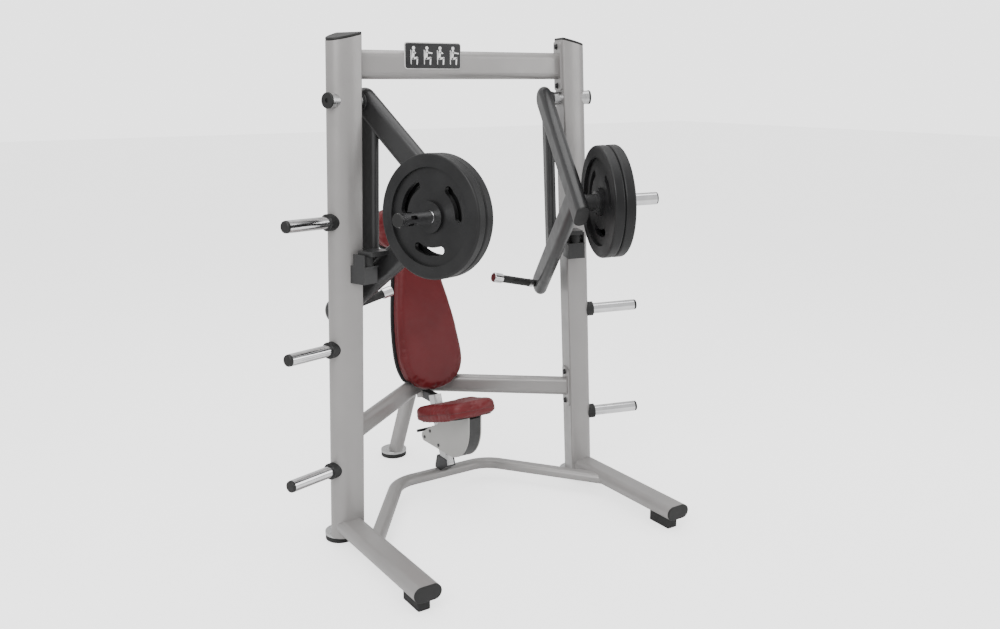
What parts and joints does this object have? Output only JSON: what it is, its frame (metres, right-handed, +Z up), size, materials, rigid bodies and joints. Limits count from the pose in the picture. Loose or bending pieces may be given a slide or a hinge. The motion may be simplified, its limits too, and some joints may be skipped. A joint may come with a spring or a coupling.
{
  "type": "chest press machine",
  "caption": "Plate-loaded chest press machine with independent swinging arms, weight horns, storage pegs, a height-adjustable seat and padded back.",
  "frame": {"origin": "on the floor, under the middle of the machine's bounding box", "axes": "+Z up; the user faces -Y; +X is the user's left; X = 0 is the mirror plane"},
  "size_m": [1.7642, 1.5, 2.0333],
  "materials": {
    "frame_paint": "satin silver-grey paint",
    "arm_paint": "satin charcoal paint",
    "chrome": "polished",
    "steel": "machined, zinc plated",
    "bolt_steel": "black oxide",
    "black_plastic": "moulded, fine grain",
    "rubber": "moulded black rubber",
    "plate_iron": "black enamel",
    "vinyl": "dark red upholstery vinyl",
    "board": "plywood behind black cloth",
    "bushing": "sintered bronze",
    "placard_face": "blank panel",
    "placard_back": "light plastic",
    "fairing_plastic": "satin dark grey",
    "carriage_paint": "satin light grey paint"
  },
  "bodies": {
    "frame": {"right_post": "frame_paint", "left_post": "frame_paint", "post_caps": "black_plastic", "crossbar": "frame_paint", "placard_backing": "placard_back", "placard": "placard_face", "right_leg": "frame_paint", "left_leg": "frame_paint", "leg_caps": "black_plastic", "leg_feet": "rubber", "rubber_feet": "rubber", "foot_flanges": "steel", "base_cross_tube": "frame_paint", "back_spine": "frame_paint", "right_rear_beam": "frame_paint", "left_rear_beam": "frame_paint", "rear_leg": "frame_paint", "spine_cap": "black_plastic", "back_pad": "vinyl", "back_pad_board": "board", "head_pad": "vinyl", "head_pad_board": "board", "pad_brackets": "bolt_steel", "seat_rail": "steel", "seat_rack": "bolt_steel", "rail_lower_bracket": "bolt_steel", "rail_upper_bracket": "bolt_steel", "pivot_barrels": "steel", "pivot_bushes": "bushing", "pivot_end_caps": "black_plastic", "storage_pegs": "chrome", "peg_caps": "black_plastic", "peg_collars": "black_plastic", "stop_brackets": "arm_paint", "stop_bumpers": "rubber", "frame_bolts": "bolt_steel"},
    "seat": {"seat_board": "board", "seat_cushion": "vinyl", "seat_carriage": "carriage_paint", "seat_fairing": "fairing_plastic", "seat_pins": "bolt_steel"},
    "seat_pawl": {"seat_pawl": "bolt_steel"},
    "right_arm": {"right_arm_frame": "arm_paint", "right_arm_tube_cap": "black_plastic", "right_pivot_shaft": "steel", "right_weight_horn": "chrome", "right_horn_cap": "black_plastic", "right_grip_bar": "chrome", "right_grip_sleeve": "rubber"},
    "right_inner_plate": {"right_inner_plate": "plate_iron"},
    "right_outer_plate": {"right_outer_plate": "plate_iron"},
    "left_arm": {"left_arm_frame": "arm_paint", "left_arm_tube_cap": "black_plastic", "left_pivot_shaft": "steel", "left_weight_horn": "chrome", "left_horn_cap": "black_plastic", "left_grip_bar": "chrome", "left_grip_sleeve": "rubber"},
    "left_inner_plate": {"left_inner_plate": "plate_iron"},
    "left_outer_plate": {"left_outer_plate": "plate_iron"}
  },
  "joints": [
    {"name": "right_arm_swing", "type": "hinge", "parent": "frame", "child": "right_arm", "pos_m": [-0.4953, -0.0226, 1.7786], "axis": [-0.9341, -0.3548, 0.0401], "range_deg": [0, 40]},
    {"name": "right_inner_plate_slide", "type": "slide", "parent": "right_arm", "child": "right_inner_plate", "axis": [-0.9341, -0.3548, 0.0401], "range_m": [0, 0.26]},
    {"name": "right_outer_plate_slide", "type": "slide", "parent": "right_inner_plate", "child": "right_outer_plate", "axis": [-0.9341, -0.3548, 0.0401], "range_m": [0, 0.22]},
    {"name": "left_arm_swing", "type": "hinge", "parent": "frame", "child": "left_arm", "pos_m": [0.4953, -0.0226, 1.7786], "axis": [-0.9341, 0.3548, -0.0401], "range_deg": [0, 40]},
    {"name": "left_inner_plate_slide", "type": "slide", "parent": "left_arm", "child": "left_inner_plate", "axis": [0.9341, -0.3548, 0.0401], "range_m": [0, 0.26]},
    {"name": "left_outer_plate_slide", "type": "slide", "parent": "left_inner_plate", "child": "left_outer_plate", "axis": [0.9341, -0.3548, 0.0401], "range_m": [0, 0.22]},
    {"name": "seat_height", "type": "slide", "parent": "frame", "child": "seat", "axis": [0, 0.342, 0.9397], "range_m": [0, 0.08]},
    {"name": "seat_pawl_release", "type": "hinge", "parent": "seat", "child": "seat_pawl", "pos_m": [0, 0.245, 0.269], "axis": [1, 0, 0], "range_deg": [0, 10], "stiffness_Nm_per_rad": 2, "springref_deg": -17.19}
  ]
}
